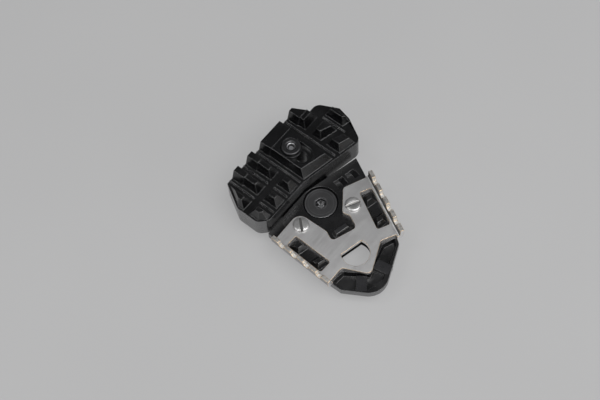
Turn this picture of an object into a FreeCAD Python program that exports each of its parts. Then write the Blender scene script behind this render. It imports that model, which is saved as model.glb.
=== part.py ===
import FreeCAD, Part
import math
import os
import re

import Sketcher

# A foot pad and the toothed extension that is clamped to its front lip. The origin is on the slot screw's
# axis, level with the face that sits on the pedal lever. X runs across the pad, Y along its slot and away
# from the nose, Z up. The extension has a frame of its own, turned about Z, with Y along its middle line.

# Driving dimensions in millimetres and degrees.
SIZES = {
    # Step pad, measured from the slot screw's axis
    "pad_top": (12.0, "top of the pad's rim and valleys above the lever seat"),
    "pad_thick": (13.0, "thickness of the two lobes"),
    "pad_left": (40.0, "left side"),
    "pad_right": (34.3, "right side"),
    "pad_front": (15.2, "front edge of the left lobe"),
    "pad_far": (13.9, "far edge"),
    "front_bend": (9.5, "bend in the front edge, left of the screw"),
    "front_reach": (25.7, "right end of the front edge"),
    "nest_open": (2.5, "angle by which the pad opens away from the carrier on the right"),
    "corner_cut": (4.2, "cut of the front left corner"),
    "corner_round": (4.5, "round of the front right corner"),
    "far_cut_wide": (7.2, "cut of the far left corner across the pad"),
    "far_cut_long": (12.7, "cut of the far left corner along the pad"),
    "right_taper": (1.7, "how far the right side draws in towards the front"),
    "right_low": (10.6, "start of the right side's draw, front of the screw"),
    "right_mid": (3.2, "widest place of the right side, front of the screw"),
    "lobe_cut": (5.2, "cut of the right lobe's far corner across the pad"),
    "lobe_step": (22.9, "step in the right lobe's far edge, right of the screw"),
    "lobe_shelf": (7.7, "far edge of the right lobe outside the step"),
    "lobe_out": (19.3, "outer end of the far edge"),
    # Slot and lever groove
    "slot_travel": (7.0, "distance between the slot's end centres"),
    "slot_gap": (0.3, "clearance of the screw and washer in the slot"),
    "slot_sink": (2.6, "depth of the washer's seat below the tread's top"),
    "groove_wide": (16.0, "width of the groove for the lever's tongue"),
    "groove_wall": (2.0, "wall at the groove's closed front end"),
    "rail_wide": (9.0, "width of each rail beside the groove"),
    "core_front": (12.4, "front of the rails"),
    "core_far": (12.8, "far end of the rails"),
    "lip_top": (1.0, "top of the front lip below the lever seat"),
    "lip_thick": (2.5, "thickness of the front lip"),
    "lip_side": (1.0, "how far the lip stands past the clamp plate at each side"),
    "lip_gap": (1.0, "space between the lip and the clamp screw's head"),
    # Raised middle and cleats of the tread
    "tread_rise": (4.9, "height of the cleats and the middle above the pad's top"),
    "rim_wide": (1.3, "width of the rim in front of the cleats"),
    "cleat_side": (1.85, "draw of the cleats' sides"),
    "cleat_end": (2.5, "draw of the cleats' ends"),
    "cleat_first": (12.3, "right foot of the first row, left of the screw"),
    "cleat_wide": (6.0, "width of the rows at their foot"),
    "cleat_pitch": (10.3, "distance between the rows"),
    "cleat_cut": (3.0, "cut of the corner cleat at its foot"),
    "crest_cut": (1.2, "cut of the corner cleat at its top"),
    "bead_wide": (1.0, "width of the fine rib along a valley"),
    "bead_rise": (0.6, "height of that rib"),
    "bead_draw": (0.35, "draw of that rib's sides"),
    "cross_near": (5.5, "near side of the left cross valley"),
    "cross_far": (1.8, "far side of the left cross valley"),
    "break_line": (7.2, "start of the stepped far ends, beyond the screw"),
    "break_step": (0.5, "height and width of that step"),
    "mid_left": (8.2, "left foot of the raised middle"),
    "mid_right": (9.3, "right foot of the raised middle"),
    "mid_ramp": (2.8, "length of the middle's front slope"),
    "lobe_left": (14.0, "left foot of the right lobe's inner cleats"),
    "lobe_wide": (9.4, "width of the right lobe's inner cleats"),
    "lobe_first": (2.5, "near foot of the right lobe's far cleat, beyond the screw"),
    "lobe_second": (7.3, "near foot of the middle cleat at its left end"),
    "lobe_valley": (3.8, "width of the right lobe's cross valleys"),
    "outer_left": (27.0, "left foot of the outer cleat"),
    "outer_near": (31.5, "right foot of the outer cleat at its near end"),
    "outer_far": (32.0, "right foot of the outer cleat at its far end"),
    "outer_end": (0.2, "far foot of the outer cleat, beyond the screw"),
    "outer_side": (1.3, "draw of the outer cleat's right side"),
    # Extension: its own origin from the slot screw, and its turn
    "ext_left": (13.0, "extension's origin left of the slot screw"),
    "ext_front": (32.9, "extension's origin in front of the slot screw"),
    "ext_turn": (15.0, "turn of the extension towards the left"),
    "nest_gap": (0.6, "gap between the pad's front and the carrier"),
    # Carrier
    "carrier_top": (2.5, "top of the carrier above the lever seat"),
    "carrier_thick": (4.5, "thickness of the carrier"),
    "side_half": (26.6, "half width at the extension's origin"),
    "side_slant": (12.4, "angle at which the sides draw in towards the nose"),
    "side_front": (27.5, "front end of the sides"),
    "cheek_half": (18.3, "half width where the nose begins"),
    "cheek_left": (35.0, "place where the nose begins at the left"),
    "cheek_right": (32.7, "place where the nose begins at the right"),
    "nose_left": (3.8, "tip of the nose left of the middle"),
    "nose_front": (49.2, "tip of the nose before rounding"),
    "nose_round": (10.0, "rounding of the nose"),
    "nose_back": (1.6, "rear end of the nose's pocket behind the sides' ends"),
    "nose_draw": (15.0, "slope of the nose pocket's walls"),
    "rung_wide": (5.2, "width of the two ribs in the nose's pocket"),
    "rung_long": (8.0, "length of the two ribs"),
    "rung_left_x": (8.6, "left rib from the middle"),
    "rung_left_y": (38.2, "left rib in front of the origin"),
    "rung_left_turn": (50.0, "turn of the left rib"),
    "rung_right_x": (4.8, "right rib from the middle"),
    "rung_right_y": (37.6, "right rib in front of the origin"),
    "rung_right_turn": (115.0, "turn of the right rib"),
    "boss_half": (11.0, "radius of the boss under the clamp screw"),
    "squeeze_gap": (0.5, "gap that lets the clamp close"),
    "cell_deep": (3.0, "depth of the carrier's pits"),
    "cell_slope": (2.0, "width of the sloping walls of the carrier's pits"),
    "cell_draft": (0.4, "draw of the steep walls of the carrier's pits"),
    "cell_rim": (1.5, "rim round the carrier's pits"),
    "lug_gap": (0.5, "gap between a window of the tread plate and the lugs in it"),
    "lug_rise": (2.6, "height of the lugs in the windows"),
    "lug_valley": (6.0, "space between the two lugs in a window"),
    "lug_side": (1.4, "draw of the lugs' sides"),
    "lug_end": (2.0, "draw of the lugs' ends"),
    "rear_cell_wide": (5.6, "width of the pits behind the right arm"),
    "rear_cell_long": (4.6, "length of the pits behind the right arm"),
    "rear_cell_start": (13.2, "left side of the pits behind the right arm"),
    "rear_cell_near": (8.6, "near side of the pits behind the right arm"),
    "gutter_wide": (2.6, "width of the groove along the rear left edge"),
    "gutter_out": (20.2, "outer end of that groove"),
    "gutter_in": (9.4, "inner end of that groove"),
    "gutter_deep": (2.4, "depth of that groove"),
    "bar_long": (9.6, "length of the raised bar in the centre notch"),
    "bar_wide": (3.6, "width of the raised bar"),
    "bar_rise": (1.6, "height of the raised bar"),
    "bar_slope": (1.4, "draw of the raised bar's front and ends"),
    "bar_front": (10.6, "raised bar in front of the origin"),
    # Clamp screw, plate and nut
    "clamp_x": (1.6, "clamp screw right of the extension's middle"),
    "clamp_y": (8.1, "clamp screw behind the extension's origin"),
    "clamp_thread": (8.0, "thread diameter of the clamp screw"),
    "clamp_head": (16.0, "head diameter of the clamp screw"),
    "clamp_sink": (0.8, "depth of the head below the carrier's top"),
    "clamp_rim": (0.8, "gap round the head"),
    "head_land": (0.4, "upright edge of the countersunk head"),
    "clamp_key": (5.0, "hex socket of the clamp screw across flats"),
    "clamp_key_deep": (2.6, "depth of the clamp screw's socket"),
    "clamp_point": (0.9, "depth of the drill point in the clamp screw's socket"),
    "hole_gap": (0.2, "clearance of a screw in its hole"),
    "thread_gap": (0.05, "clearance of a screw in its thread"),
    "plate_gap": (0.9, "clearance of the clamp screw in the clamp plate"),
    "clamp_wide": (30.0, "width of the clamp plate"),
    "clamp_reach": (11.0, "reach of the clamp plate in front of its screw"),
    "clamp_thick": (6.0, "thickness of the clamp plate"),
    "clamp_round": (4.0, "corner round of the clamp plate"),
    "nut_flats": (13.0, "nut across flats"),
    "nut_thick": (4.0, "thickness of the nut"),
    "nut_gap": (0.2, "clearance round the nut"),
    "nut_roof": (1.8, "thickness of the clamp plate above the nut"),
    "screw_end": (0.6, "end of the clamp screw above the clamp plate's underside"),
    # Tread plate and its screws
    "sheet": (2.0, "thickness of the tread sheet"),
    "flange_half": (27.4, "inner face of the flanges at the extension's origin"),
    "flange_rear": (5.0, "rear end of the flanges"),
    "flange_long": (36.2, "length of the flanges"),
    "flange_rise": (6.6, "height of the flanges above the sheet's underside"),
    "bend_inner": (0.9, "inner radius of the bends"),
    "tooth_pitch": (7.9, "distance between the notches"),
    "tooth_gap": (3.8, "width of the notches at the tips"),
    "tooth_deep": (2.4, "depth of the notches"),
    "tooth_draw": (20.0, "slope of the notches' sides"),
    "flange_lead": (1.5, "how far the flanges stand past the sheet's front"),
    "arm_left_rear": (9.5, "rear corner of the left arm"),
    "arm_left_in": (10.9, "inner corner of the left arm"),
    "arm_right_rear": (7.2, "rear corner of the right arm"),
    "arm_right_in": (14.6, "inner corner of the right arm"),
    "arm_out": (4.9, "rear edge of the arms at the flanges"),
    "arm_round": (5.0, "rounding of the left arm round its screw"),
    "neck_left": (5.9, "left neck of the centre notch"),
    "neck_right": (6.0, "right neck of the centre notch"),
    "neck_front": (3.6, "right neck in front of the origin"),
    "notch_left": (6.9, "left side of the centre notch"),
    "notch_right": (8.1, "right side of the centre notch"),
    "notch_front": (14.0, "front edge of the centre notch"),
    "notch_tilt": (1.4, "tilt of the notch's front edge"),
    "notch_knee": (7.0, "knee in the centre notch's sides"),
    "window_in": (19.4, "inner edge of the windows at the rear"),
    "window_step": (5.2, "how far the windows' inner edge draws in"),
    "window_long": (21.0, "length of the windows"),
    "window_tilt": (1.4, "tilt of the windows' ends"),
    "window_band": (0.6, "band left between the windows and the bends"),
    "window_round": (1.2, "rounding of the windows' corners"),
    "fork_half": (11.8, "half width of the nose tab"),
    "fork_front": (26.7, "inner corners beside the nose tab"),
    "tab_left": (2.6, "tip of the nose tab left of the middle"),
    "tab_front": (37.9, "tip of the nose tab before rounding"),
    "tab_round": (3.0, "rounding of the nose tab"),
    "eye_half": (7.0, "radius of the D-shaped hole"),
    "eye_left": (1.6, "centre of the D-shaped hole left of the middle"),
    "eye_front": (24.4, "centre of the D-shaped hole"),
    "eye_flat": (3.4, "straight edge of the D-shaped hole behind its centre"),
    "eye_gap": (0.5, "how much wider the D-shaped hole is in the carrier"),
    "sheet_round": (2.0, "rounding of the sheet's corners"),
    "stud_left_x": (13.9, "left tread screw from the middle"),
    "stud_left_y": (3.1, "left tread screw behind the origin"),
    "stud_right_x": (12.8, "right tread screw from the middle"),
    "stud_right_y": (3.4, "right tread screw in front of the origin"),
    "stud_head": (7.8, "head diameter of the tread screws"),
    "stud_rise": (1.5, "head height of the tread screws"),
    "stud_thread": (4.0, "thread diameter of the tread screws"),
    "stud_bite": (3.0, "length of the tread screws in the carrier"),
    "stud_slot": (1.2, "width of the tread screws' slots"),
    "stud_crown": (0.86, "flat top of the tread screws as a part of the head"),
    "stud_edge": (0.6, "upright edge of the tread screws as a part of the head's height"),
    "stud_slot_deep": (0.8, "depth of the tread screws' slots"),
    "stud_left_turn": (80.0, "turn of the left screw's slot"),
    "stud_right_turn": (32.0, "turn of the right screw's slot"),
    # Slot screw and washer
    "slot_thread": (5.0, "thread diameter of the slot screw"),
    "slot_head": (9.5, "head diameter of the slot screw"),
    "slot_rise": (2.75, "head height of the slot screw"),
    "slot_bevel": (0.4, "bevel round the slot screw's head"),
    "slot_mouth": (5.8, "mouth of the cone over the slot screw's socket"),
    "slot_cone": (0.9, "depth of that cone"),
    "slot_key": (3.0, "hex socket of the slot screw across flats"),
    "slot_key_deep": (1.2, "depth of the slot screw's socket under its cone"),
    "slot_long": (23.3, "length of the slot screw under its head"),
    "slot_relief": (0.3, "relief of the slot screw's neck above its thread"),
    "washer_wide": (10.0, "washer diameter"),
    "washer_thick": (1.0, "washer thickness"),
    "washer_gap": (0.15, "clearance of the slot screw in its washer"),
    "seat_gap": (0.1, "gap under the washer so that it slides"),
}

doc = FreeCAD.newDocument("brake_pedal_extension")
sheet = doc.addObject("Spreadsheet::Sheet", "sizes")
for row, (alias, (amount, note)) in enumerate(SIZES.items(), start=1):
    sheet.set(f"A{row}", note)
    sheet.set(f"B{row}", str(amount))
    sheet.setAlias(f"B{row}", alias)
doc.recompute()

SIZE_NAME = re.compile(r"\b(" + "|".join(sorted(SIZES, key=len, reverse=True)) + r")\b")
EXTENSION_FRAME = "placement(vector(-ext_left; -ext_front; 0); rotation(vector(0; 0; 1); -ext_turn))"
PAD_IN_EXTENSION = (
    "placement(vector(ext_left * cos(ext_turn) - ext_front * sin(ext_turn);"
    " ext_left * sin(ext_turn) + ext_front * cos(ext_turn); {height}); rotation(vector(0; 0; 1); ext_turn))"
)


def bound(text):
    """Expression with every size name pointing at its cell of the sheet."""
    return SIZE_NAME.sub(r"sizes.\1", text)


def new_body(label, frame=None):
    """Body of one piece, named for its file, in the pad's frame or another one."""
    body = doc.addObject("PartDesign::Body", label)
    body.Label = label
    if frame:
        body.setExpression("Placement", bound(frame))
    return body


def new_sketch(body, height="0", frame=None):
    """Sketch parallel to the body's XY plane at a height, or on a plane placed by a frame."""
    sketch = body.newObject("Sketcher::SketchObject", "sketch")
    plane = next(item for item in body.Origin.OriginFeatures if item.Role == "XY_Plane")
    sketch.AttachmentSupport = (plane, [""])
    sketch.MapMode = "FlatFace"
    if frame:
        sketch.setExpression("AttachmentOffset", bound(frame.format(height=height)))
    else:
        sketch.setExpression("AttachmentOffset.Base.z", bound(height))
    return sketch


def fix_point(sketch, part, point, x, y):
    """Place a point of a sketch by two expressions."""
    spot = sketch.getPoint(part, point)
    for kind, start, text in (("DistanceX", spot.x, x), ("DistanceY", spot.y, y)):
        index = sketch.addConstraint(Sketcher.Constraint(kind, -1, 1, part, point, start))
        sketch.setExpression(f"Constraints[{index}]", bound(text))


def polygon(sketch, corners):
    """Closed outline through corners, each given by two expressions."""
    first = sketch.GeometryCount
    count = len(corners)
    turns = [2 * math.pi * step / count for step in range(count)]
    ring = [FreeCAD.Vector(math.cos(turn), math.sin(turn), 0) for turn in turns]
    lines = [Part.LineSegment(ring[step], ring[(step + 1) % count]) for step in range(count)]
    sketch.addGeometry(lines, False)
    for step in range(count):
        following = first + (step + 1) % count
        sketch.addConstraint(Sketcher.Constraint("Coincident", first + step, 2, following, 1))
    for step, (x, y) in enumerate(corners):
        fix_point(sketch, first + step, 1, x, y)


def circle(sketch, x, y, radius):
    """Circle placed and sized by expressions."""
    index = sketch.addGeometry(Part.Circle(FreeCAD.Vector(0, 0, 0), FreeCAD.Vector(0, 0, 1), 1.0), False)
    fix_point(sketch, index, 3, x, y)
    size = sketch.addConstraint(Sketcher.Constraint("Radius", index, 1.0))
    sketch.setExpression(f"Constraints[{size}]", bound(radius))


def rectangle(sketch, left, right, near, far):
    """Upright rectangle given by its four sides."""
    polygon(sketch, [(left, near), (right, near), (right, far), (left, far)])


def hexagon(sketch, x, y, flats):
    """Hexagon across flats, with two corners along X."""
    corners = []
    for step in range(6):
        reach = f"({flats}) / sqrt(3)"
        corners.append((f"{x} + {reach} * cos({60 * step})", f"{y} + {reach} * sin({60 * step})"))
    polygon(sketch, corners)


def feature(body, kind, sketch, length, reverse=False, draw=None):
    """Pad or Pocket of a sketch, with an optional draw of its sides."""
    made = body.newObject("PartDesign::" + kind, kind.lower())
    made.Profile = sketch
    made.setExpression("Length", bound(length))
    made.Reversed = reverse
    if draw:
        made.setExpression("TaperAngle", bound(draw))
    return made


def block(body, low, high, left, right, near, far):
    """Rectangular pad between two heights."""
    sketch = new_sketch(body, low)
    rectangle(sketch, left, right, near, far)
    return feature(body, "Pad", sketch, f"({high}) - ({low})")


def cut(body, low, high, left, right, near, far, frame=None):
    """Rectangular pocket between two heights, drawn at its lower face."""
    sketch = new_sketch(body, low, frame)
    rectangle(sketch, left, right, near, far)
    return feature(body, "Pocket", sketch, f"({high}) - ({low})", reverse=True)


def turned(body, kind, x, y, corners):
    """Revolution or Groove of a profile of radius and height pairs about an upright axis."""
    frame = f"placement(vector({x}; {y}; 0); rotation(vector(1; 0; 0); 90))"
    sketch = new_sketch(body, frame=frame)
    polygon(sketch, corners)
    made = body.newObject("PartDesign::" + kind, kind.lower())
    made.Profile = sketch
    made.ReferenceAxis = (sketch, ["V_Axis"])
    made.Angle = 360
    return made


def round_corners(body, made, sketch, corners, radius):
    """Fillet on a feature's upright edges at numbered corners of its sketch."""
    doc.recompute()
    spots = [sketch.Placement.multVec(sketch.Geometry[corner].StartPoint) for corner in corners]
    names = []
    for number, edge in enumerate(made.Shape.Edges, start=1):
        ends = [vertex.Point for vertex in edge.Vertexes]
        upright = len(ends) == 2 and math.hypot(ends[0].x - ends[1].x, ends[0].y - ends[1].y) < 1e-6
        if upright and any(math.hypot(ends[0].x - spot.x, ends[0].y - spot.y) < 1e-4 for spot in spots):
            names.append(f"Edge{number}")
    fillet = body.newObject("PartDesign::Fillet", "fillet")
    fillet.Base = (made, names)
    fillet.setExpression("Radius", bound(radius))
    return fillet


def tapered(body, kind, height, outline, end_height, end):
    """Additive or subtractive loft between two outlines at two heights."""
    first = new_sketch(body, height)
    polygon(first, outline)
    last = new_sketch(body, end_height)
    polygon(last, end)
    loft = body.newObject("PartDesign::" + kind, "tapered")
    loft.Profile = first
    loft.Sections = [last]
    loft.Ruled = True


def drawn_in(corners, left, right, near, far):
    """Four corners, from near left and round, with each side moved inwards by its own amount."""
    steps = [(left, near), (f"-({right})", near), (f"-({right})", f"-({far})"), (left, f"-({far})")]
    return [(f"({x}) + ({dx})", f"({y}) + ({dy})") for (x, y), (dx, dy) in zip(corners, steps)]


def pit(body, top, mouth, deep, left, right, near, far):
    """Pit whose four walls draw in by their own amounts."""
    bed = drawn_in(mouth, left, right, near, far)
    tapered(body, "SubtractiveLoft", top, mouth, f"({top}) - ({deep})", bed)


def raised(body, base, foot, rise, left, right, near, far):
    """Stud on a level face whose four sides draw in by their own amounts."""
    crest = drawn_in(foot, left, right, near, far)
    tapered(body, "AdditiveLoft", base, foot, f"({base}) + ({rise})", crest)


def cleat(body, foot, left, right, near, far, rise="tread_rise"):
    """Stud of the pad's tread."""
    raised(body, "pad_top", foot, rise, left, right, near, far)


def bead(body, x, near, far):
    """Fine rib along a valley of the pad."""
    foot = four_corners(f"{x} - bead_wide / 2", f"{x} + bead_wide / 2", near, far)
    cleat(body, foot, "bead_draw", "bead_draw", "0", "0", "bead_rise")


def angled(sketch, x, y, turn, long, wide):
    """Rectangle about a centre, with its length turned from X."""
    corners = []
    for along, across in ((-0.5, -0.5), (0.5, -0.5), (0.5, 0.5), (-0.5, 0.5)):
        corners.append((
            f"{x} + {along} * ({long}) * cos({turn}) - {across} * ({wide}) * sin({turn})",
            f"{y} + {along} * ({long}) * sin({turn}) + {across} * ({wide}) * cos({turn})",
        ))
    polygon(sketch, corners)


def four_corners(left, right, near, far):
    """Corners of an upright rectangle, from near left and round."""
    return [(left, near), (right, near), (right, far), (left, far)]


# Heights that several pieces share
PAD_BASE = "(pad_top - pad_thick)"
TREAD_TOP = "(pad_top + tread_rise)"
SLOT_SEAT = f"({TREAD_TOP} - slot_sink)"
LIP_BASE = "(-lip_top - lip_thick)"
GROUND = f"({LIP_BASE} - clamp_thick)"
CARRIER_BASE = "(carrier_top - carrier_thick)"

# Clamp screw's axis in the pad's frame
CLAMP_PAD_X = "(-ext_left + clamp_x * cos(ext_turn) + clamp_y * sin(ext_turn))"
CLAMP_PAD_Y = "(-ext_front - clamp_x * sin(ext_turn) + clamp_y * cos(ext_turn))"
HEAD_SEAT = "(carrier_top - clamp_sink - head_land)"
LIP_FRONT = f"({CLAMP_PAD_Y} + clamp_head / 2 - {HEAD_SEAT} - lip_top + lip_gap)"
LIP_LEFT = f"({CLAMP_PAD_X} - clamp_wide / 2 - lip_side)"
LIP_RIGHT = f"({CLAMP_PAD_X} + clamp_wide / 2 + lip_side)"


def front_edge(x):
    """Front edge of the pad's right lobe at a place across it."""
    return f"(-pad_front - ({x} + front_bend) * tan(ext_turn - nest_open))"


def step_pad():
    """Foot pad: cleats on two lobes, a raised middle with a slot, rails for the lever and a lip."""
    body = new_body("step_pad")
    outline = new_sketch(body, PAD_BASE)
    polygon(outline, [
        ("-pad_left + corner_cut", "-pad_front"),
        ("-front_bend", "-pad_front"),
        ("front_reach", front_edge("front_reach")),
        ("pad_right - right_taper", "-right_low"),
        ("pad_right", "-right_mid"),
        ("pad_right - lobe_cut", "lobe_shelf"),
        ("lobe_step", "lobe_shelf"),
        ("lobe_out", "pad_far"),
        ("-pad_left + far_cut_wide", "pad_far"),
        ("-pad_left", "pad_far - far_cut_long"),
        ("-pad_left", "-pad_front + corner_cut"),
    ])
    slab = feature(body, "Pad", outline, "pad_thick")
    round_corners(body, slab, outline, [0, 2, 3, 5, 9, 10], "corner_round")

    core_half = "(groove_wide / 2 + rail_wide)"
    block(body, GROUND, PAD_BASE, f"-{core_half}", core_half, "-core_front", "core_far")
    block(body, LIP_BASE, "-lip_top", LIP_LEFT, LIP_RIGHT, LIP_FRONT, "-core_front + groove_wall")

    middle = [
        ("-mid_left", f"{front_edge('-mid_left')} + rim_wide"),
        ("mid_right", f"{front_edge('mid_right')} + rim_wide"),
        ("mid_right", "pad_far"),
        ("-mid_left", "pad_far"),
    ]
    cleat(body, middle, "cleat_side", "cleat_side", "mid_ramp", "0")
    far_end(body, "-mid_left", "mid_right", "mid_right")
    left_cleats(body)
    right_cleats(body)

    slot(body, SLOT_SEAT, TREAD_TOP, "(washer_wide / 2 + slot_gap)")
    slot(body, "0", SLOT_SEAT, "(slot_thread / 2 + slot_gap)")
    cut(body, GROUND, "0", "-groove_wide / 2", "groove_wide / 2", "-core_front + groove_wall",
        "pad_far + groove_wall")
    return body


def slot(body, low, high, radius):
    """Round-ended slot from the screw's axis towards the nose."""
    sketch = new_sketch(body, low)
    rectangle(sketch, f"-{radius}", radius, "-slot_travel", "0")
    feature(body, "Pocket", sketch, f"({high}) - ({low})", reverse=True)
    for centre in ("0", "-slot_travel"):
        end = new_sketch(body, low)
        circle(end, "0", centre, radius)
        feature(body, "Pocket", end, f"({high}) - ({low})", reverse=True)


# Draw of a cleat's left, right, near and far sides
LONG_CLEAT = ("cleat_side", "cleat_side", "cleat_end", "cleat_end")
WIDE_CLEAT = ("cleat_side", "cleat_side", "cleat_side", "cleat_side")
OPEN_CLEAT = ("cleat_side", "cleat_side", "cleat_end", "0")


def far_end(body, left, right, far_right):
    """Stepped far end of a row of cleats, flush with the pad's far edge."""
    foot = [
        (f"{left} - break_step", "break_line"),
        (f"{right} + break_step", "break_line"),
        (f"{far_right} + break_step", "pad_far"),
        (f"{left} - break_step", "pad_far"),
    ]
    cleat(body, foot, "cleat_side", "cleat_side", "0", "0", "tread_rise + break_step")


def far_cut(x):
    """Far edge of the left lobe along its cut corner."""
    return f"(pad_far - far_cut_long + ({x} + pad_left) * far_cut_long / far_cut_wide)"


def left_cleats(body):
    """Three rows of cleats on the left lobe, crossed by a valley; the last row follows the corners."""
    near = "(-pad_front + rim_wide)"
    for row in range(2):
        right = f"(-cleat_first - {row} * cleat_pitch)"
        left = f"({right} - cleat_wide)"
        cleat(body, four_corners(left, right, near, "-cross_near"), *LONG_CLEAT)
        cleat(body, four_corners(left, right, "-cross_far", "pad_far"), *OPEN_CLEAT)
        far_end(body, left, right, right)
        valley = f"({left} - (cleat_pitch - cleat_wide) / 2)"
        bead(body, valley, near, "-cross_near")
        bead(body, valley, "-cross_far", "pad_far")
    bead(body, "(-mid_left - cleat_first) / 2", near, "pad_far")

    right = "(-cleat_first - 2 * cleat_pitch)"
    left = f"({right} - cleat_wide)"
    crest_left, crest_right = f"({left} + cleat_side)", f"({right} - cleat_side)"
    foot = cut_corner(four_corners(left, right, near, "-cross_near"), "cleat_cut")
    crest = four_corners(crest_left, crest_right, f"{near} + cleat_end", "-cross_near - cleat_end")
    tapered(body, "AdditiveLoft", "pad_top", foot, TREAD_TOP, cut_corner(crest, "crest_cut"))
    foot = [
        (left, "-cross_far"),
        (right, "-cross_far"),
        (right, f"{far_cut(right)} - rim_wide"),
        (left, f"{far_cut(left)} - rim_wide"),
    ]
    crest = [
        (crest_left, "-cross_far + cleat_end"),
        (crest_right, "-cross_far + cleat_end"),
        (crest_right, f"{far_cut(crest_right)} - rim_wide - cleat_end"),
        (crest_left, f"{far_cut(crest_left)} - rim_wide - cleat_end"),
    ]
    tapered(body, "AdditiveLoft", "pad_top", foot, TREAD_TOP, crest)


def cut_corner(corners, amount):
    """Four corners with the first one cut off."""
    x, y = corners[0]
    return [(f"{x} + {amount}", y), *corners[1:], (x, f"{y} + {amount}")]


def right_cleats(body):
    """Cleats of the right lobe; the near ones lean with its front edge."""
    right = "(lobe_left + lobe_wide)"
    slant = "tan(ext_turn)"
    lean = f"lobe_wide * {slant}"
    cleat(body, four_corners("lobe_left", right, "lobe_first", "break_line + break_step"), *OPEN_CLEAT)
    far_end(body, "lobe_left", "lobe_step - break_step", "lobe_out - break_step")
    second = [
        ("lobe_left", "-lobe_second"),
        (right, f"-lobe_second - {lean}"),
        (right, "lobe_first - lobe_valley"),
        ("lobe_left", "lobe_first - lobe_valley"),
    ]
    cleat(body, second, *WIDE_CLEAT)
    third = [
        ("lobe_left", f"{front_edge('lobe_left')} + rim_wide"),
        (right, f"{front_edge(right)} + rim_wide"),
        (right, f"-lobe_second - lobe_valley - {lean}"),
        ("lobe_left", "-lobe_second - lobe_valley"),
    ]
    cleat(body, third, *WIDE_CLEAT)
    outer = [
        ("outer_left", f"-lobe_second - (outer_left - lobe_left) * {slant}"),
        ("outer_near", f"-lobe_second - (outer_near - lobe_left) * {slant}"),
        ("outer_far", "outer_end"),
        ("outer_left", "outer_end"),
    ]
    cleat(body, outer, "cleat_side", "outer_side", "cleat_side", "cleat_side")
    bead(body, "(mid_right + lobe_left) / 2", f"{front_edge('mid_right')} + rim_wide", "pad_far")
    bead(body, f"({right} + outer_left) / 2", f"-lobe_second - lobe_valley - {lean}", "outer_end")


# Carrier outline in the extension's frame: its rear edges follow the pad's front
NEST_LEFT = "((ext_front - pad_front - nest_gap) / cos(ext_turn))"
REAR = ("((ext_left - front_bend) * sin(ext_turn) + (ext_front - pad_front) * cos(ext_turn) - nest_gap)")
APEX = f"(({REAR} - {NEST_LEFT}) / tan(ext_turn))"
REAR_LEFT = f"(({NEST_LEFT} - side_half * tan(ext_turn)) / (1 + tan(side_slant) * tan(ext_turn)))"


def side(y):
    """Half width of the carrier at a place along the extension."""
    return f"(side_half + ({y}) * tan(side_slant))"


def dee(body, base, thick, gap):
    """D-shaped hole of the extension: a round hole closed again behind its straight edge."""
    hole = new_sketch(body, f"({base}) + ({thick})")
    circle(hole, "-eye_left", "-eye_front", f"eye_half + {gap}")
    feature(body, "Pocket", hole, thick)
    block(body, base, f"({base}) + ({thick})",
          f"-eye_left - eye_half - {gap}", f"-eye_left + eye_half + {gap}",
          f"-eye_front + eye_flat + {gap}", f"-eye_front + eye_half + {gap}")


def carrier():
    """Base of the extension, clamped on the pad's lip, with lugs in the windows and a rounded nose."""
    body = new_body("carrier", EXTENSION_FRAME)
    outline = new_sketch(body, CARRIER_BASE)
    polygon(outline, [
        (f"-{side(REAR_LEFT)}", REAR_LEFT),
        (f"-{side('-side_front')}", "-side_front"),
        ("-cheek_half", "-cheek_left"),
        ("-nose_left", "-nose_front"),
        ("cheek_half", "-cheek_right"),
        (side("-side_front"), "-side_front"),
        (side(REAR), REAR),
        (APEX, REAR),
    ])
    slab = feature(body, "Pad", outline, "carrier_thick")
    round_corners(body, slab, outline, [3], "nose_round")

    boss_base = f"({LIP_BASE} + squeeze_gap)"
    boss = new_sketch(body, boss_base)
    circle(boss, "clamp_x", "clamp_y", "boss_half")
    feature(body, "Pad", boss, f"{CARRIER_BASE} - {boss_base}")
    cut(body, LIP_BASE, "-lip_top", f"{LIP_LEFT} - nest_gap", f"{LIP_RIGHT} + nest_gap",
        f"{LIP_FRONT} - nest_gap / 2", "0", frame=PAD_IN_EXTENSION)
    hole = "(clamp_thread / 2 + hole_gap)"
    turned(body, "Groove", "clamp_x", "clamp_y", [
        ("0", "pad_top"),
        ("clamp_head / 2 + clamp_rim", "pad_top"),
        ("clamp_head / 2 + clamp_rim", HEAD_SEAT),
        ("clamp_head / 2", HEAD_SEAT),
        (hole, f"{HEAD_SEAT} - clamp_head / 2 + {hole}"),
        (hole, LIP_BASE),
        ("0", LIP_BASE),
    ])
    for x, y in (("-stud_left_x", "stud_left_y"), ("stud_right_x", "-stud_right_y")):
        bore = new_sketch(body, "carrier_top")
        circle(bore, x, y, "stud_thread / 2 + thread_gap")
        feature(body, "Pocket", bore, "stud_bite + hole_gap")
    dee(body, CARRIER_BASE, "carrier_thick", "eye_gap")
    carrier_cells(body)
    carrier_nose(body)
    bar_middle = "(notch_right - notch_left) / 2"
    bar = four_corners(f"{bar_middle} - bar_long / 2", f"{bar_middle} + bar_long / 2",
                       "-bar_front - bar_wide / 2", "-bar_front + bar_wide / 2")
    raised(body, "carrier_top", bar, "bar_rise", "bar_slope", "bar_slope", "bar_slope", "0")
    return body


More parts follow.
